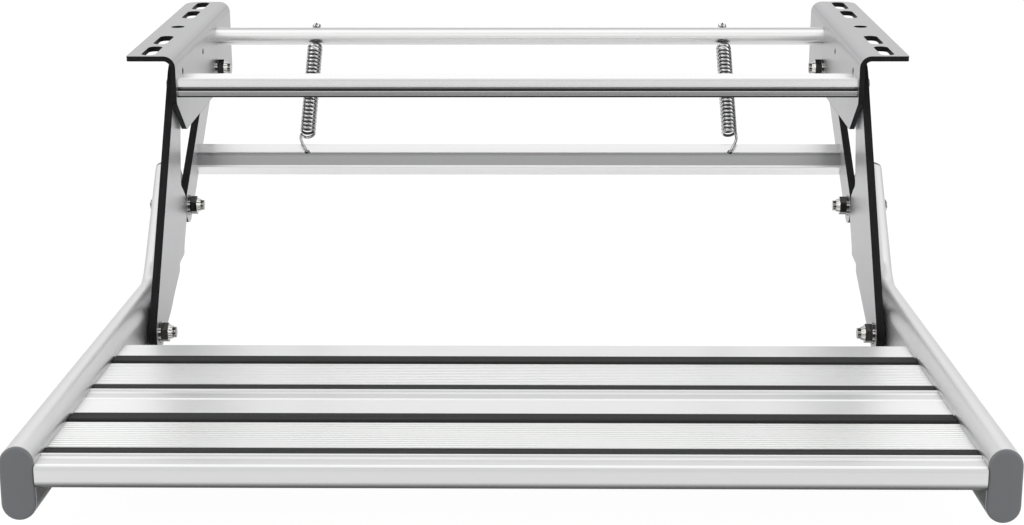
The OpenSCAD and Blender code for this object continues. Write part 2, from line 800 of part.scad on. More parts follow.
// The wire of a spring as a list of points: knob, end through the rod, coil, hook into the bar
function spring_path() =
    let (
        rod = [rod_y, rod_z],
        axis = spring_pull(),
        out = [axis[1], -axis[0]],
        coil_from = rod + axis * (rod_d / 2 + wire_d + 0.6),
        coil_to = hook_start() - axis * 5,
        run = coil_to - coil_from,
        turns = spring_turns * coil_steps
    )
    concat(
        [for (k = knob_steps()) let (p = rod - axis * (rod_d / 2 + k[0])) [0, p[0], p[1]]],
        [for (p = [rod, rod + axis * rod_d / 2]) [0, p[0], p[1]]],
        [for (i = [0:turns])
            let (
                a = 360 * i / coil_steps,
                r = coil_r * min(1, (i + 2) / 6, (turns - i + 2) / 6),
                p = coil_from + run * i / turns + r * cos(a) * out
            )
            [r * sin(a), p[0], p[1]]
        ],
        [for (p = hook_points()) [0, p[0], p[1]]]
    );

// The lower hook: over the edge of the inner bar and down into its hole
function hook_points() =
    let (face = bar_h / 2 - rebate)
    [
        hook_start(), on_bar(hook_u + 4.5, face + 3.1), on_bar(hook_u + 1.6, face + 2.7),
        on_bar(hook_u + 0.3, face + 1.4), on_bar(hook_u, face - 1), on_bar(hook_u, face - 5)
    ];

// A wire swept along a list of points: the first few rings have their own radii, the others r
module wire(path, first_radii, r, sides) {
    n = len(path);
    radii = [for (i = [0:n - 1]) i < len(first_radii) ? first_radii[i] : r];
    way = [for (i = [0:n - 1]) unit(path[min(i + 1, n - 1)] - path[max(i - 1, 0)])];
    start = unit(cross(way[0], [1, 0, 0.01]));
    across = [for (i = 0, v = start; i < n; i = i + 1, v = i < n ? unit(v - (v * way[i]) * way[i]) : v) v];
    rings = [for (i = [0:n - 1]) for (k = [0:sides - 1]) let (a = 360 * k / sides)
        path[i] + radii[i] * (cos(a) * across[i] + sin(a) * cross(way[i], across[i]))];
    walls = [for (i = [0:n - 2]) for (k = [0:sides - 1])
        [i * sides + k, i * sides + (k + 1) % sides, (i + 1) * sides + (k + 1) % sides, (i + 1) * sides + k]];
    polyhedron(rings, concat(
        [[for (k = [0:sides - 1]) sides - 1 - k]],
        walls,
        [[for (k = [0:sides - 1]) (n - 1) * sides + k]]
    ));
}

module spring(side) {
    color("gainsboro") translate([side * spring_x, 0, 0])
        wire(spring_path(), [for (k = knob_steps()) k[1]], wire_r, wire_sides);
}

color("silver") bracket(-1);  // left_bracket
color("silver") bracket(1);  // right_bracket
front_cross_bar();
rear_cross_rod();
cross_bar_screws();
front_pivot_bolts();
rear_pivot_bolts();
bracket_nuts();
bracket_washers();
bracket_slip_washers();
spring(-1);  // left_spring
spring(1);  // right_spring
outer_arm(-1);  // left_outer_arm
outer_arm(1);  // right_outer_arm
inner_arm(-1);  // left_inner_arm
inner_arm(1);  // right_inner_arm
inner_cross_bar();
inner_bar_screws();
upper_pivot_studs();
upper_nuts();
upper_washers();
upper_slip_washers();
side_tube(-1);  // left_side_tube
side_tube(1);  // right_side_tube
tread_plank(0);  // rear_tread_plank
tread_plank(1);  // front_tread_plank
wide_strip(0);  // rear_wide_strip
narrow_strip(0);  // rear_narrow_strip
wide_strip(1);  // front_wide_strip
narrow_strip(1);  // front_narrow_strip
front_cap(-1);  // left_front_cap
front_cap(1);  // right_front_cap
leg_cap(-1);  // left_leg_cap
leg_cap(1);  // right_leg_cap
tread_screws();
upper_pivot_bolts();
lower_pivot_bolts();
lower_nuts();
lower_washers();
lower_slip_washers();
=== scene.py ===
import math

import bmesh
import bpy
from mathutils import Matrix, Vector


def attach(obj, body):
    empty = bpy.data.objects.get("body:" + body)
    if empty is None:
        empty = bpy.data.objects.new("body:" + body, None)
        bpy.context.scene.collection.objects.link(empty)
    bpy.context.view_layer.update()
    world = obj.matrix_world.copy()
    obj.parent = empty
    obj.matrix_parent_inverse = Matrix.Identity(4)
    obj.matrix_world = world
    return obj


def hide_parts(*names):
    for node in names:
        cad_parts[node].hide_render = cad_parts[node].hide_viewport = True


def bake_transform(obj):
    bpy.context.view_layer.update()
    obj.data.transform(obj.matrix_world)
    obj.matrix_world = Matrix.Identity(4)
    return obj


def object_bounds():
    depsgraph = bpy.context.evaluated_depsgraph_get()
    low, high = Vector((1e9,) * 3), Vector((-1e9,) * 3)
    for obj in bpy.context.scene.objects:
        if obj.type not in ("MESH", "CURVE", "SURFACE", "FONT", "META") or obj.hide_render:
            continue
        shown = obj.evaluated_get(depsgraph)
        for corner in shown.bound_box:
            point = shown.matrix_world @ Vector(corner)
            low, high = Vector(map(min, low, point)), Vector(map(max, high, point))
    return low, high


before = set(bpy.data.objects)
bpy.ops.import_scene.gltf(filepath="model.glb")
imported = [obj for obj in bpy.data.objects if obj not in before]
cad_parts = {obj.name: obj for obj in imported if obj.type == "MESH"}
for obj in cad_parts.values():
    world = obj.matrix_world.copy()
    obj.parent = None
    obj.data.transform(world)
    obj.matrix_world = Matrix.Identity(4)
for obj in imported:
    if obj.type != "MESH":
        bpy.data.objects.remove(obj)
cad_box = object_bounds()
scene = bpy.context.scene
MM = 0.001

# Camera: focal length and width of the photo in pixels, turn in degrees, place in metres
FOCAL, PHOTO_W, SENSOR_W = 1887.85, 1024, 36
CAMERA_YAW, CAMERA_PITCH, CAMERA_ROLL = 0.784, 16.707, 0.148
CAMERA_AT = (0.015543, -1.563782, 0.264208)

# Sizes and places from the model, in millimetres. A pair is [Y, Z].
# The frame of the step starts at its lower pivot, u back along the tube and w up.
LOWER, UPPER = (-222.0, -193.5), (-80.0, -132.5)
FALL = math.radians(3)
STEP_BACK, STEP_UP = (math.cos(FALL), -math.sin(FALL)), (math.sin(FALL), math.cos(FALL))
TUBE_IN, TUBE_W, TUBE_H, TUBE_RISE = 275.0, 20.5, 45.0, 3.5
LEG, LEG_PAST_PIVOT = math.radians(48), 26.0
CAP_T, CAP_FIT = 3.0, 0.4

# Tread
TREAD_RISE, SETBACK, PLANK_W, PLANK_T, NOSE_LEN = 15.5, 87.0, 125.0, 15.0, 20
WIDE_AT, WIDE_W, NARROW_W = 30.0, 16.5, 11.5
NARROW_AT = PLANK_W - NOSE_LEN - NARROW_W
STRIP_DEPTH, WIDE_PROUD, NARROW_PROUD = 2.5, 1.0, 0.3
STRIP_GAP = 0.2

# Brackets: the small holes with a dark rim, the lower edge, and how far out the flange starts.
# These rims and edges are painted dark, partly as cut oxide and partly as painted dark reflection.
SMALL_HOLES, SMALL_HOLE_RIM = ((-11.7, -18.7), (-104.5, -17.1)), 2.6
BRACKET_FOOT, FLANGE_FROM = -65.0, 272.5
# How much of its normal a cut edge has along the axis that it faces
EDGE_TURN = 0.45

# Front bar: Y and Z of its groove, which is painted dark as shade, how far back its front takes
# painted shade, and the heights below which it is painted grey and dark as shade
GROOVE_Y, GROOVE_Z = (-131.2, -125.0), (-29.2, -22.8)
SHADED_TO, GREY_BELOW, DARK_BELOW = -128.5, -28.2, -31.7

# Inner bar: its middle, tilt and size, and the bands of painted shade on its wide face, counted
# from its middle
BAR_AT, BAR_TILT, BAR_W, BAR_H = (-28.4, -106.7), math.radians(50), 22.0, 15.0
FACE_BAND, FACE_BLEND, FACE_LIP = (-9.2, 5.4), (-1.5, 2.0), 3.6
BAR_ALONG = (math.cos(BAR_TILT), math.sin(BAR_TILT))
BAR_OUT = (-math.sin(BAR_TILT), math.cos(BAR_TILT))
ROD, ROD_D = (58.0, -18.0), 15.0

# Springs, with their knobs above the rod and the place of the hook's hole in the inner bar
WIRE, SPRING_OD, TURNS, SPRING_X = 2.4, 13.3, 24, 176.0
COIL_R, COIL_GAP, COIL_TAIL = SPRING_OD / 2 - WIRE / 2, 0.6, 5
KNOB_H, KNOB_R, KNOB_GAP, RING_GAP = 5.0, 3.8, 0.3, 0.001
HOOK_U, HOOK_V = 0.16 * BAR_W, BAR_H / 2 - 1
COIL_STEPS, WIRE_SIDES, HOOK_STEPS = 20, 10, 4

# Threads of the pivot bolts and studs, which start at the inner faces of the side plates
THREAD_PITCH, THREAD_IN = 1.25, 262.5

# Floor and light
FLOOR_SIZE, FLOOR_DROP, FLOOR_TONE, FLOOR_ROUGH = 14, 0.5, 0.84, 0.9
WHITE_GLOW, WHITE_SHARE = 1.05, 0.93
WHITE = (1, 1, 1, 1)


def offset(start, u, along, v, across):
    """The [Y, Z] pair that lies u along one way and v along another from start."""
    return tuple(s + u * a + v * b for s, a, b in zip(start, along, across))


def reach(pair, way):
    """How far a [Y, Z] pair lies along a way."""
    return pair[0] * way[0] + pair[1] * way[1]


def step_point(x, u, w):
    """A point in the frame of the step, in metres."""
    y, z = offset(LOWER, u, STEP_BACK, w, STEP_UP)
    return Vector((x * MM, y * MM, z * MM))


def bar_point(u, v):
    """A [Y, Z] pair in the section of the inner bar, u back along its wide face, v out of it."""
    return offset(BAR_AT, u, BAR_ALONG, v, BAR_OUT)


HOOK_START = bar_point(BAR_W / 2 + 2.5, BAR_H / 2 + 3)

# Rear leg of the side tube in the frame of the step: where it meets the lower leg, and its length
PIVOT_STEP = (UPPER[0] - LOWER[0], UPPER[1] - LOWER[1])
LEG_RISE = reach(PIVOT_STEP, STEP_UP) - TUBE_RISE
CORNER_U = reach(PIVOT_STEP, STEP_BACK) - LEG_RISE / math.tan(LEG)
LEG_END = LEG_RISE / math.sin(LEG) + LEG_PAST_PIVOT


# Camera
def place_camera():
    data = bpy.data.cameras.new("camera")
    data.sensor_width = SENSOR_W
    data.lens = FOCAL * SENSOR_W / PHOTO_W
    data.clip_start, data.clip_end = 0.05, 50
    cam = bpy.data.objects.new("camera", data)
    scene.collection.objects.link(cam)
    yaw, pitch, roll = (math.radians(a) for a in (CAMERA_YAW, CAMERA_PITCH, CAMERA_ROLL))
    right = Vector((math.cos(yaw), math.sin(yaw), 0))
    level = Vector((-math.sin(yaw), math.cos(yaw), 0))
    ahead = level * math.cos(pitch) - Vector((0, 0, 1)) * math.sin(pitch)
    up = level * math.sin(pitch) + Vector((0, 0, 1)) * math.cos(pitch)
    across = right * math.cos(roll) - up * math.sin(roll)
    upward = right * math.sin(roll) + up * math.cos(roll)
    turn = Matrix((across, upward, -ahead)).transposed().to_4x4()
    turn.translation = Vector(CAMERA_AT)
    cam.matrix_world = turn
    scene.camera = cam


place_camera()


# Materials
def grey(level):
    return (level, level, level)


def times(values, share):
    return tuple(v * share for v in values)


class Nodes:
    """A node tree with short calls for its nodes. Values are numbers or outputs of nodes."""

    def __init__(self, tree):
        self.tree = tree

    def node(self, kind, **settings):
        n = self.tree.nodes.new(kind)
        for key, value in settings.items():
            setattr(n, key, value)
        return n

    def put(self, target, value):
        if hasattr(value, "is_output"):
            self.tree.links.new(value, target)
        else:
            target.default_value = value

    def coords(self, which="Object"):
        return self.node("ShaderNodeTexCoord").outputs[which]

    def camera_ray(self):
        return self.node("ShaderNodeLightPath").outputs["Is Camera Ray"]

    def split(self, vector):
        n = self.node("ShaderNodeSeparateXYZ")
        self.put(n.inputs[0], vector)
        return n.outputs

    def math(self, operation, *values):
        n = self.node("ShaderNodeMath", operation=operation)
        for target, value in zip(n.inputs, values):
            self.put(target, value)
        return n.outputs[0]

    def chain(self, operation, values):
        out = values[0]
        for value in values[1:]:
            out = self.math(operation, out, value)
        return out

    def mul(self, *values):
        return self.chain("MULTIPLY", values)

    def add(self, *values):
        return self.chain("ADD", values)

    def most(self, *values):
        return self.chain("MAXIMUM", values)

    def absolute(self, value):
        return self.math("ABSOLUTE", value)

    def over(self, value, low):
        """1 where value is over low, else 0"""
        return self.math("GREATER_THAN", value, low)

    def under(self, value, high):
        """1 where value is under high, else 0"""
        return self.math("LESS_THAN", value, high)

    def between(self, value, low, high):
        return self.mul(self.over(value, low), self.under(value, high))

    def bands(self, value, spans):
        """1 where value lies in one of the spans, which are in millimetres"""
        return self.most(*(self.between(value, low * MM, high * MM) for low, high in spans))

    def less(self, at, pair):
        """Y and Z of at, counted from a pair in millimetres"""
        return [self.math("SUBTRACT", at[i + 1], pair[i] * MM) for i in (0, 1)]

    def reach(self, pair, way):
        """How far a pair of outputs lies along a way, which is a pair of numbers"""
        return self.add(self.mul(pair[0], way[0]), self.mul(pair[1], way[1]))

    def near(self, at, pair, radius):
        """1 within radius of the line along X through a pair, both in millimetres"""
        y, z = self.less(at, pair)
        return self.under(self.add(self.mul(y, y), self.mul(z, z)), (radius * MM) ** 2)

    def smooth(self, value, zero, one, low=0.0, high=1.0):
        """low..high as value goes from zero to one, smoothly"""
        n = self.node("ShaderNodeMapRange", interpolation_type="SMOOTHSTEP")
        for target, number in zip(n.inputs, (value, zero, one, low, high)):
            self.put(target, number)
        return n.outputs[0]


class Shader(Nodes):
    """The node tree of a new material."""

    def __init__(self, name):
        self.mat = bpy.data.materials.new(name)
        self.mat.use_nodes = True
        super().__init__(self.mat.node_tree)
        self.bsdf = self.first("BSDF_PRINCIPLED")

    def first(self, kind):
        return next(n for n in self.tree.nodes if n.type == kind)

    def scaled(self, vector, scale, turn=(0, 0, 0)):
        n = self.node("ShaderNodeMapping")
        self.put(n.inputs["Vector"], vector)
        self.put(n.inputs["Scale"], scale)
        self.put(n.inputs["Rotation"], turn)
        return n.outputs[0]

    def noise(self, vector, scale, detail, rough=0.55):
        n = self.node("ShaderNodeTexNoise")
        self.put(n.inputs["Vector"], vector)
        self.put(n.inputs["Scale"], scale)
        self.put(n.inputs["Detail"], detail)
        self.put(n.inputs["Roughness"], rough)
        return n.outputs["Fac"]

    def ramp(self, fac, low, dark, high, light):
        """The colour dark up to low, light from high on."""
        n = self.node("ShaderNodeValToRGB")
        self.put(n.inputs[0], fac)
        for stop, place, color in zip(n.color_ramp.elements, (low, high), (dark, light)):
            stop.position = place
            stop.color = (*color, 1)
        return n.outputs[0]

    def mix(self, fac, a, b):
        """Two colours, each an output or three numbers."""
        n = self.node("ShaderNodeMix", data_type="RGBA")
        self.put(n.inputs[0], fac)
        for i, color in ((6, a), (7, b)):
            self.put(n.inputs[i], (*color, 1) if isinstance(color, tuple) else color)
        return n.outputs[2]

    def span(self, fac, low, high):
        """fac from 0..1 to low..high"""
        n = self.node("ShaderNodeMapRange")
        self.put(n.inputs[0], fac)
        self.put(n.inputs[3], low)
        self.put(n.inputs[4], high)
        return n.outputs[0]

    def finish(self, color, metallic, rough, height, bump, depth, edge, spec=0.5):
        """Sets the surface. Depth of the relief and width of the soft edges in millimetres."""
        relief = self.node("ShaderNodeBump")
        self.put(relief.inputs["Strength"], bump)
        self.put(relief.inputs["Distance"], depth * MM)
        self.put(relief.inputs["Height"], height)
        if edge:
            bevel = self.node("ShaderNodeBevel", samples=6)
            self.put(bevel.inputs["Radius"], edge * MM)
            self.put(relief.inputs["Normal"], bevel.outputs[0])
        for key, value in (
            ("Base Color", color), ("Metallic", metallic), ("Roughness", rough),
            ("Specular IOR Level", spec), ("Normal", relief.outputs[0]),
        ):
            self.put(self.bsdf.inputs[key], value)
        return self.mat


# Masks: each gives how strongly a place on the piece takes the darker tone. On cut edges that tone
# is partly cut oxide and partly painted dark reflection; elsewhere it is painted shade.
def bracket_edges(s, at, normal):
    """Ends, lower edge, free edge of the flange and small holes of a bracket: painted dark, partly
    as cut oxide and partly as painted dark reflection.
    """
    ends = s.over(s.absolute(normal[1]), EDGE_TURN)
    foot = s.under(at[2], (BRACKET_FOOT + 0.2) * MM)
    flange = s.over(s.absolute(at[0]), FLANGE_FROM * MM)
    side = s.mul(flange, s.over(s.absolute(normal[0]), EDGE_TURN))
    holes = [s.near(at, hole, SMALL_HOLE_RIM) for hole in SMALL_HOLES]
    return s.most(ends, foot, side, *holes)


def arm_edges(s, at, normal):
    """All that doesn't face sideways: the cut edges, painted dark partly as cut oxide and partly as
    painted dark reflection.
    """
    return s.under(s.absolute(normal[0]), 0.6)


def front_bar_shade(s, at):
    """Painted shade: dark inside the groove, grey below it, with a dark lower edge."""
    groove = s.mul(s.bands(at[1], (GROOVE_Y,)), s.bands(at[2], (GROOVE_Z,)))
    front = s.under(at[1], SHADED_TO * MM)
    low = s.mul(s.under(at[2], GREY_BELOW * MM), front)
    foot = s.mul(s.under(at[2], DARK_BELOW * MM), front)
    return s.most(s.mul(groove, 0.70), foot, s.mul(low, 0.62))


def inner_bar_shade(s, at):
    """Painted shade on the lower half of the wide face of the inner bar, and on its edge."""
    u, v = s.reach(at[1:], BAR_ALONG), s.reach(at[1:], BAR_OUT)
    mid = reach(BAR_AT, BAR_ALONG) * MM
    top = (reach(BAR_AT, BAR_OUT) + BAR_H / 2) * MM
    face, blend = ([mid + end * MM for end in ends] for ends in (FACE_BAND, FACE_BLEND))
    lower = s.mul(s.between(u, *face), s.over(v, top - 0.4 * MM))
    deeper = s.mul(s.smooth(u, *blend), s.under(u, mid + FACE_LIP * MM))
    return s.mul(lower, s.add(s.mul(deeper, 0.2), 0.8))


def lip_painted_shade(s, at):
    """Painted shade, darker towards the bottom, on the rounded lower edge at the front of each
    plank and on the underside.
    """
    w = s.reach(at[1:], STEP_UP)
    underside = (reach(LOWER, STEP_UP) + TREAD_RISE - PLANK_T) * MM
    return s.smooth(w, underside + 6.6 * MM, underside + 2.0 * MM)


def tread_painted_shade(s, at):
    """Painted shade on the sloping band behind each nosing, the lands beside the strips, and the
    front face.
    """
    u = s.reach(at[1:], STEP_BACK)
    back = (reach(LOWER, STEP_BACK) - SETBACK) * MM
    ahead = s.math("SUBTRACT", back, u)
    slopes = s.bands(ahead, ((113.2, 121.6), (238.2, 246.6)))
    behind_wide = s.most(s.under(ahead, 30.2 * MM), s.bands(ahead, ((125.1, 155.2),)))
    before_narrow = s.bands(ahead, ((107.2, 113.3), (232.2, 238.3)))
    front = s.over(ahead, 249.0 * MM)
    lands = s.most(behind_wide, before_narrow)
    return s.most(s.mul(slopes, 0.40), s.mul(lands, 0.15), s.mul(front, 0.20))


def plank_shade(s, at):
    return s.most(lip_painted_shade(s, at), tread_painted_shade(s, at))


def rod_shade(s, at):
    """Painted shade: a thin darker line along the top of the rod and a darker lower half."""
    up = s.math("DIVIDE", s.less(at, ROD)[1], ROD_D / 2 * MM)
    line = s.mul(s.smooth(up, 0.72, 0.95), 0.62)
    return s.most(line, s.mul(s.smooth(up, -0.05, -0.35), 0.28))


def coil_inside_painted_shade(s, at):
    """Painted shade on the side of the spring wire that faces the axis of its coil."""
    way = (HOOK_START[0] - ROD[0], HOOK_START[1] - ROD[1])
    length = math.hypot(*way)
    from_rod = s.less(at, ROD)
    off = s.reach(from_rod, (way[1] / length, -way[0] / length))
    along = s.reach(from_rod, (way[0] / length, way[1] / length))
    x = s.math("SUBTRACT", s.absolute(at[0]), SPRING_X * MM)
    far = s.math("SQRT", s.add(s.mul(x, x), s.mul(off, off)))
    within = s.between(along, 9 * MM, (length - 6) * MM)
    return s.mul(within, s.smooth(far, (COIL_R + 0.4) * MM, (COIL_R - 0.3) * MM))


# Finishes
def plate(name, base, edges, top_painted_shade=0.0):
    """Satin plated sheet with cut edges painted dark, as oxide and as painted dark reflection; the
    last argument paints shade on the faces that look up.
    """
    s = Shader(name)
    pos = s.coords()
    normal = s.split(s.coords("Normal"))
    dark = edges(s, s.split(pos), normal)
    cloud = s.noise(pos, scale=9, detail=4)
    grain = s.noise(pos, scale=1400, detail=2, rough=0.7)
    fleck = s.noise(s.scaled(pos, (1, 1, 1), (0.6, 0.2, 0.4)), scale=300, detail=3, rough=0.6)
    tone = s.ramp(cloud, 0.3, times(base, 0.94), 0.7, base)
    tone = s.mix(s.span(fleck, 0.0, 0.12), tone, times(base, 0.8))
    # Painted shade on the faces that look up
    if top_painted_shade:
        tone = s.mix(s.mul(s.over(normal[2], 0.5), top_painted_shade), tone, times(base, 0.45))
    # Cut edges painted near black, partly as cut oxide and partly as painted dark reflection
    saw_marks = s.noise(s.scaled(pos, (900, 60, 60)), scale=1, detail=3)
    cut = s.ramp(saw_marks, 0.3, (0.004, 0.004, 0.005), 0.75, (0.013, 0.013, 0.014))
    return s.finish(
        s.mix(dark, tone, cut), s.span(dark, 0.82, 0.55),
        s.add(s.span(grain, 0.27, 0.36), s.mul(dark, 0.22)),
        grain, bump=0.10, depth=0.05, edge=0.12, spec=0.3,
    )


def brushed(name, base, stretch, rough, bump, edge=0.5, shade=None, shade_to=None, contrast=0.04):
    """Satin anodised extrusion with die lines; shade masks the painted shade, which takes the tone
    shade_to.
    """
    s = Shader(name)
    pos = s.coords()
    line = s.noise(s.scaled(pos, stretch), scale=1, detail=4, rough=0.6)
    coarse = s.noise(s.scaled(pos, times(stretch, 0.28)), scale=1, detail=2, rough=0.5)
    cloud = s.noise(pos, scale=6, detail=3)
    tone = s.ramp(line, 0.25, times(base, 1 - contrast), 0.75, base)
    tone = s.mix(s.span(cloud, 0.0, 0.08), tone, times(base, 0.88))
    # Painted shade from the mask, in the tone shade_to
    if shade:
        tone = s.mix(shade(s, s.split(pos)), tone, shade_to)
    uneven = s.add(s.span(coarse, *rough), s.span(cloud, -0.02, 0.03))
    height = s.add(line, s.mul(coarse, 0.3))
    return s.finish(tone, 1.0, uneven, height, bump, depth=0.1, edge=edge)


def zinc(name, base, rough, threaded=False, shade=None):
    """Bright zinc plating with painted reflections: its facets are painted dark or left bright by
    the way they face.
    """
    s = Shader(name)
    pos, normal = s.coords(), s.coords("Normal")
    cloud = s.noise(pos, scale=160, detail=4, rough=0.6)
    fine = s.noise(pos, scale=1500, detail=2)
    turned = s.scaled(normal, (2.3, 2.3, 2.3), (0.4, 0.7, 0.2))
    facet = s.noise(turned, scale=1.6, detail=1)
    tone = s.ramp(cloud, 0.3, times(base, 0.72), 0.65, base)
    # Painted reflections: facets are painted dark by the way they face, less on the end faces that
    # point along X
    round_axis = s.smooth(s.absolute(s.split(normal)[0]), 0.97, 0.75)
    painted_dark_facets = s.mul(s.smooth(facet, 0.505, 0.465), s.add(s.mul(round_axis, 0.6), 0.4))
    tone = s.mix(painted_dark_facets, tone, times(base, 0.06))
    # Painted shade where a mask is given
    if shade:
        tone = s.mix(shade(s, s.split(pos)), tone, times(base, 0.08))
    height, bump, depth = fine, 0.12, 0.05
    if threaded:
        x = s.absolute(s.split(pos)[0])
        wave = s.math("SINE", s.mul(x, 2 * math.pi / (THREAD_PITCH * MM)))
        height = s.add(s.mul(wave, s.under(x, THREAD_IN * MM)), s.mul(fine, 0.1))
        bump, depth = 0.8, 0.35
    return s.finish(tone, 1.0, s.span(cloud, *rough), height, bump, depth, edge=0.4)


def rubber(name, dark, light):
    s = Shader(name)
    pos = s.coords()
    grain = s.noise(pos, scale=1900, detail=3, rough=0.65)
    streak = s.noise(s.scaled(pos, (6, 900, 900)), scale=1, detail=3)
    tone = s.ramp(streak, 0.3, dark, 0.7, light)
    rough, height = s.span(grain, 0.55, 0.72), s.add(grain, streak)
    return s.finish(tone, 0.0, rough, height, bump=0.35, depth=0.12, edge=0.3, spec=0.22)


def moulded(name, base):
    s = Shader(name)
    pos = s.coords()
    grain = s.node("ShaderNodeTexVoronoi")
    s.put(grain.inputs["Scale"], 1300)
    s.put(grain.inputs["Vector"], pos)
    cloud = s.noise(pos, scale=30, detail=3)
    tone = s.ramp(cloud, 0.3, times(base, 0.95), 0.7, base)
    rough, height = s.span(cloud, 0.42, 0.55), grain.outputs["Distance"]
    return s.finish(tone, 0.0, rough, height, bump=0.16, depth=0.06, edge=0.6)


made = {
    "bracket": plate("plated_bracket", (0.43, 0.43, 0.44), bracket_edges, top_painted_shade=0.45),
    "arm": plate("plated_arm", (0.475, 0.475, 0.485), arm_edges),
    "tube": brushed("tube_satin", grey(0.61), (700, 9, 700), (0.28, 0.38), bump=0.04),
    "plank": brushed(
        "tread_satin", (0.87, 0.875, 0.87), (2, 1100, 1100), (0.30, 0.40), bump=0.08, edge=0.4,
        shade=plank_shade, shade_to=grey(0.20), contrast=0.05,
    ),
    "front_bar": brushed(
        "front_bar_satin", grey(0.79), (2, 900, 900), (0.22, 0.30), bump=0.05,
        shade=front_bar_shade, shade_to=grey(0.035),
    ),
    "inner_bar": brushed(
        "inner_bar_satin", grey(0.90), (2, 900, 900), (0.24, 0.34), bump=0.05,
        shade=inner_bar_shade, shade_to=(0.235, 0.235, 0.238),
    ),
    "rod": brushed(
        "rod_bright", (0.96, 0.96, 0.955), (3, 500, 500), (0.24, 0.32), bump=0.03, edge=0.0,
        shade=rod_shade, shade_to=grey(0.25),
    ),
    "zinc": zinc("bright_zinc", (0.92, 0.91, 0.88), (0.05, 0.16)),
    "thread": zinc("bright_zinc_threaded", (0.66, 0.65, 0.62), (0.06, 0.18), threaded=True),
    "spring": zinc("spring_wire", grey(0.90), (0.10, 0.20), shade=coil_inside_painted_shade),
    "nylon": moulded("black_nylon", (0.02, 0.02, 0.022)),
    "cap": moulded("grey_cap", (0.126, 0.130, 0.138)),
    "rubber": rubber("ribbed_rubber", grey(0.017), grey(0.029)),
}
LOOKS = (
    ("slip_washers", "nylon"), ("_bracket", "bracket"), ("_arm", "arm"), ("_side_tube", "tube"),
    ("_plank", "plank"), ("front_cross_bar", "front_bar"), ("inner_cross_bar", "inner_bar"),
    ("_rod", "rod"), ("_spring", "spring"), ("_cap", "cap"), ("_strip", "rubber"),
    ("pivot_bolts", "thread"), ("pivot_studs", "thread"),
)

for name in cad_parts:
    look = next((key for end, key in LOOKS if name.endswith(end)), "zinc")
    obj = bpy.data.objects[name]
    obj.data.materials.clear()
    obj.data.materials.append(made[look])


# Pieces
def add_mesh(name, points, faces, key, body=None, smooth_under=None):
    """A piece from points and faces; smooth_under is the angle up to which its edges look round."""
    mesh = bpy.data.meshes.new(name)
    mesh.from_pydata([tuple(p) for p in points], [], faces)
    mesh.validate()
    obj = bpy.data.objects.new(name, mesh)
    scene.collection.objects.link(obj)
    bm = bmesh.new()
    bm.from_mesh(mesh)
    bmesh.ops.recalc_face_normals(bm, faces=bm.faces)
    bm.to_mesh(mesh)
    bm.free()
    mesh.materials.append(made[key])
    if smooth_under:
        mesh.shade_smooth()
        mesh.set_sharp_from_angle(angle=math.radians(smooth_under))
    if body:
        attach(obj, body)
    return obj


def loft(rings):
    """Points and faces of closed rings joined one to the next, with a face at each end."""
    n = len(rings[0])
    points = [p for ring in rings for p in ring]
    faces = [
        (i * n + k, i * n + (k + 1) % n, (i + 1) * n + (k + 1) % n, (i + 1) * n + k)
        for i in range(len(rings) - 1) for k in range(n)
    ]
    faces.append(tuple(reversed(range(n))))
    faces.append(tuple((len(rings) - 1) * n + k for k in range(n)))
    return points, faces


# Rubber strips
def strip_piece(name, back_u, profile):
    """A strip along the tread; profile runs forward from its back edge and up from the groove."""
    half, top = TUBE_IN - 0.5, STRIP_DEPTH + WIDE_PROUD
    rings = []
    ends, inner = top - 0.35, half - 0.6
    for x, limit in ((-half, ends), (-inner, top), (inner, top), (half, ends)):
        rings.append([
            step_point(x, back_u - a, TREAD_RISE - STRIP_DEPTH + min(h, limit)) for a, h in profile
        ])
    obj = add_mesh(name + "_ribbed", *loft(rings), "rubber", "step")
    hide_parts(name)


def ribbed_top(start, end, top, ribs, depth):
    """Profile points along a ribbed top from start to end; each rib takes most of its pitch."""
    pitch = (end - start) / ribs
    return [
        (start + i * pitch + share * pitch, top - down * depth)
        for i in range(ribs) for share, down in ((0.15, 0), (0.62, 0), (0.74, 1), (0.98, 1))
    ]


def wide_profile():
    w, top, lap = WIDE_W - 2 * STRIP_GAP, STRIP_DEPTH + WIDE_PROUD, 3.0
    edge = w - lap
    up = [(0.0, 0.0), (0.0, top - 0.6), (0.18, top - 0.22), (0.6, top)]
    ribs = ribbed_top(0.9, edge - 0.9, top, 5, 0.28)
    down = [(edge - 0.45, top), (edge - 0.1, top - 0.3), (edge, top - 0.8)]
    front = [
        (edge + 0.15, STRIP_DEPTH - 0.45), (w - 0.2, STRIP_DEPTH - 0.62),
        (w, STRIP_DEPTH - 0.8), (w, 0.0),
    ]
    return up + ribs + down + front


def narrow_profile():
    w, top = NARROW_W - 2 * STRIP_GAP, STRIP_DEPTH + NARROW_PROUD
    up = [(0.0, 0.0), (0.0, STRIP_DEPTH), (0.35, top)]
    ribs = ribbed_top(0.7, w - 0.6, top, 4, 0.25)
    return up + ribs + [(w - 0.3, top), (w, STRIP_DEPTH), (w, 0.0)]


for index, which in enumerate(("rear", "front")):
    back = -SETBACK - index * PLANK_W
    strip_piece(which + "_wide_strip", back - WIDE_AT - STRIP_GAP, wide_profile())
    strip_piece(which + "_narrow_strip", back - NARROW_AT - STRIP_GAP, narrow_profile())


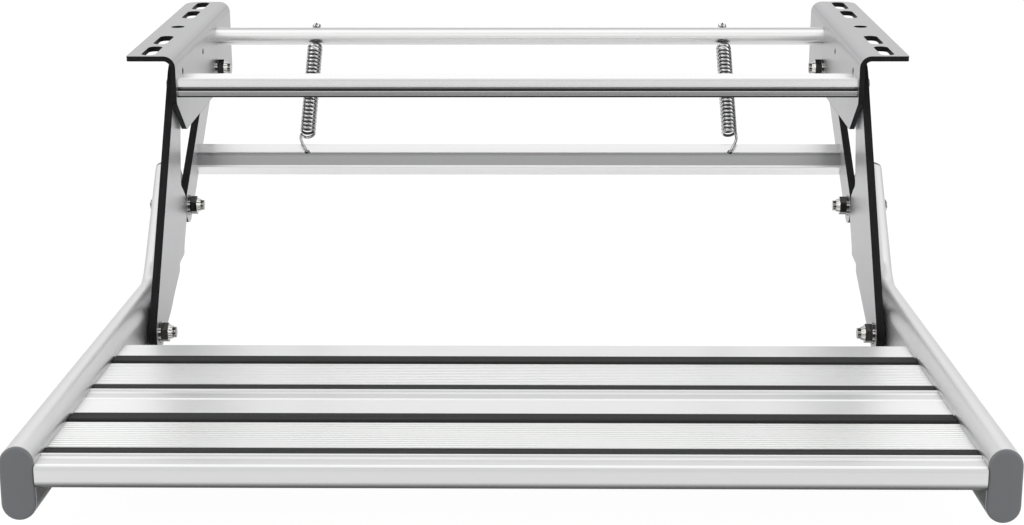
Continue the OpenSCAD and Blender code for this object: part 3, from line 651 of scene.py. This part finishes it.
# Springs
def smooth_path(points, per):
    """A Catmull-Rom curve through points, with per steps from one to the next."""
    out = []
    n = len(points)
    for i in range(n - 1):
        p = [points[max(i - 1, 0)], points[i], points[i + 1], points[min(i + 2, n - 1)]]
        for k in range(per):
            t = k / per
            out.append(
                (p[1] * 2 + (p[2] - p[0]) * t + (p[0] * 2 - p[1] * 5 + p[2] * 4 - p[3]) * t * t
                 + (p[1] * 3 - p[0] - p[2] * 3 + p[3]) * t ** 3) * 0.5
            )
    out.append(points[-1])
    return out


def wire(path, radius, sides, first):
    """Rings of a round wire along a path of vectors; first holds the radii of the first rings."""
    across = None
    rings = []
    for i, p in enumerate(path):
        way = (path[min(i + 1, len(path) - 1)] - path[max(i - 1, 0)]).normalized()
        if across is None:
            across = way.cross(Vector((1, 0, 0.01))).normalized()
        across = (across - way * across.dot(way)).normalized()
        other = way.cross(across)
        size = first[i] if i < len(first) else radius
        angles = [2 * math.pi * k / sides for k in range(sides)]
        rings.append([p + (across * math.cos(a) + other * math.sin(a)) * size for a in angles])
    return rings


def spring_path(hand):
    """Points of the wire from the knob to the lower hook, and the radii of the knob's rings."""
    hook, rod = Vector((0, *HOOK_START)), Vector((0, *ROD))
    axis = (hook - rod).normalized()
    side, out = Vector((1, 0, 0)), Vector((0, axis.z, -axis.y))
    start = rod + axis * (ROD_D / 2 + WIRE + COIL_GAP)
    end = hook - axis * COIL_TAIL
    knob = [
        (KNOB_H, 0.62 * KNOB_R), (0.93 * KNOB_H, 0.86 * KNOB_R), (0.8 * KNOB_H, KNOB_R),
        (0.12, KNOB_R), (0.0, 0.9 * KNOB_R), (0.0, WIRE / 2),
    ]
    path = [
        rod - axis * (ROD_D / 2 + KNOB_GAP + h - RING_GAP * i) for i, (h, r) in enumerate(knob)
    ]
    path += [rod, rod + axis * ROD_D / 2]
    steps = round((TURNS + 0.25 * hand) * COIL_STEPS)
    for i in range(steps + 1):
        a = 2 * math.pi * i / COIL_STEPS
        r = COIL_R * min(1.0, (i + 4) / (COIL_STEPS * 0.5))
        at = start.lerp(end, i / steps)
        path.append(at + side * (r * math.sin(a)) + out * (r * math.cos(a)))
    last = path.pop()
    tail = [last] + [Vector((share * last.x, *pair)) for share, pair in (
        (0.98, HOOK_START), (0.7, bar_point(HOOK_U + 6, HOOK_V + 3.6)),
        (0.34, bar_point(HOOK_U + 2.4, HOOK_V + 2.9)),
        (0.08, bar_point(HOOK_U + 0.4, HOOK_V + 1.4)),
        (0, bar_point(HOOK_U, HOOK_V - 1)), (0, bar_point(HOOK_U, HOOK_V - 5)),
    )]
    return path + smooth_path(tail, HOOK_STEPS), [r for h, r in knob]


for name, side in (("left_spring", -1), ("right_spring", 1)):
    points, radii = spring_path(side)
    path = [(p + Vector((side * SPRING_X, 0, 0))) * MM for p in points]
    rings = wire(path, WIRE / 2 * MM, WIRE_SIDES, [r * MM for r in radii])
    obj = add_mesh(name + "_coil", *loft(rings), "spring", smooth_under=50)
    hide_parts(name)
    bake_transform(obj)


# Caps
def stadium(long, wide):
    """Outline of a flat oval with its long side upright, as (x, w) pairs."""
    r, half, n = wide / 2, (long - wide) / 2, 14
    angles = [math.pi * k / n for k in range(n + 1)]
    top = [(r * math.cos(a), half + r * math.sin(a)) for a in angles]
    return top + [(-x, -w) for x, w in top]


def cap_rings():
    """Rings of a cap as (offset outwards, outline): its plug, its rounded edge and its face."""
    plug, rim, round_r = 4.4, 0.9, 1.8
    rings = [(-4.0, plug), (0.0, plug), (0.0, 0.0), (rim, 0.0)]
    for a in (math.radians(18 * k) for k in range(1, 6)):
        rings.append((rim + round_r * math.sin(a), 2 * round_r * (1 - math.cos(a))))
    rings += [(2.85, 7.0), (2.95, 11.0)]
    full_h, full_w = TUBE_H - CAP_FIT, TUBE_W - CAP_FIT
    return [(off, stadium(full_h - less, full_w - less)) for off, less in rings]


def front_place(off, w):
    return -SETBACK - 2 * PLANK_W + CAP_T - off, TUBE_RISE + w


def leg_place(off, w):
    along = LEG_END + off
    return (
        CORNER_U + along * math.cos(LEG) - w * math.sin(LEG),
        TUBE_RISE + along * math.sin(LEG) + w * math.cos(LEG),
    )


for prefix, side in (("left", -1), ("right", 1)):
    for end, place in (("_front_cap", front_place), ("_leg_cap", leg_place)):
        rings = [
            [step_point(side * (TUBE_IN + TUBE_W / 2) + x, *place(off, w)) for x, w in outline]
            for off, outline in cap_rings()
        ]
        name = prefix + end
        obj = add_mesh(name + "_moulded", *loft(rings), "cap", "step", smooth_under=40)
        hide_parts(name)


# Surroundings
def add_floor():
    """A pale floor that the camera sees as nearly white."""
    low = cad_box[0].z - FLOOR_DROP * MM
    bpy.ops.mesh.primitive_plane_add(size=FLOOR_SIZE, location=(0, 0, low))
    floor = bpy.context.object
    floor.name = "floor"
    s = Shader("floor_white")
    s.put(s.bsdf.inputs["Base Color"], (*grey(FLOOR_TONE), 1))
    s.put(s.bsdf.inputs["Roughness"], FLOOR_ROUGH)
    glow = s.node("ShaderNodeEmission")
    s.put(glow.inputs["Color"], WHITE)
    s.put(glow.inputs["Strength"], WHITE_GLOW)
    blend = s.node("ShaderNodeMixShader")
    s.put(blend.inputs[0], s.mul(s.camera_ray(), WHITE_SHARE))
    s.put(blend.inputs[1], s.bsdf.outputs[0])
    s.put(blend.inputs[2], glow.outputs[0])
    s.put(s.first("OUTPUT_MATERIAL").inputs["Surface"], blend.outputs[0])
    floor.data.materials.append(s.mat)


def add_world():
    """White to the camera; for the object, darker in front, at the horizon and overhead."""
    world = bpy.data.worlds.new("studio")
    scene.world = world
    world.use_nodes = True
    s = Nodes(world.node_tree)
    s.tree.nodes.clear()
    way = s.split(s.coords("Generated"))
    front = s.smooth(way[1], -0.95, -0.3, low=0.92, high=1.34)
    horizon = s.smooth(way[2], 0.02, 0.3, low=0.62, high=1.0)
    overhead = s.smooth(way[2], 0.5, 0.9, low=1.0, high=0.56)
    mix = s.node("ShaderNodeMixShader")
    s.put(mix.inputs[0], s.camera_ray())
    for i, strength in ((1, s.mul(front, horizon, overhead)), (2, 1.0)):
        sky = s.node("ShaderNodeBackground")
        s.put(sky.inputs["Color"], WHITE)
        s.put(sky.inputs["Strength"], strength)
        s.put(mix.inputs[i], sky.outputs[0])
    s.put(s.node("ShaderNodeOutputWorld").inputs["Surface"], mix.outputs[0])


def add_lamp(name, spot, aim, size, power):
    """A soft lamp of a size in metres and a power in watts, turned from its spot to an aim."""
    data = bpy.data.lights.new(name, "AREA")
    data.shape = "RECTANGLE"
    data.size, data.size_y = size
    data.energy = power
    lamp = bpy.data.objects.new(name, data)
    scene.collection.objects.link(lamp)
    lamp.location = spot
    lamp.rotation_mode = "QUATERNION"
    lamp.rotation_quaternion = (Vector(aim) - Vector(spot)).to_track_quat("-Z", "Y")


add_floor()
add_world()
add_lamp("top_light", (0.0, -0.1, 1.6), (0, -0.2, -0.15), (2.6, 1.9), 5)
add_lamp("left_light", (-1.8, -0.9, 0.9), (0, -0.2, -0.1), (1.0, 1.2), 7)
add_lamp("right_light", (1.8, -0.9, 0.9), (0, -0.2, -0.1), (1.0, 1.2), 7)
scene.view_settings.view_transform = "Standard"
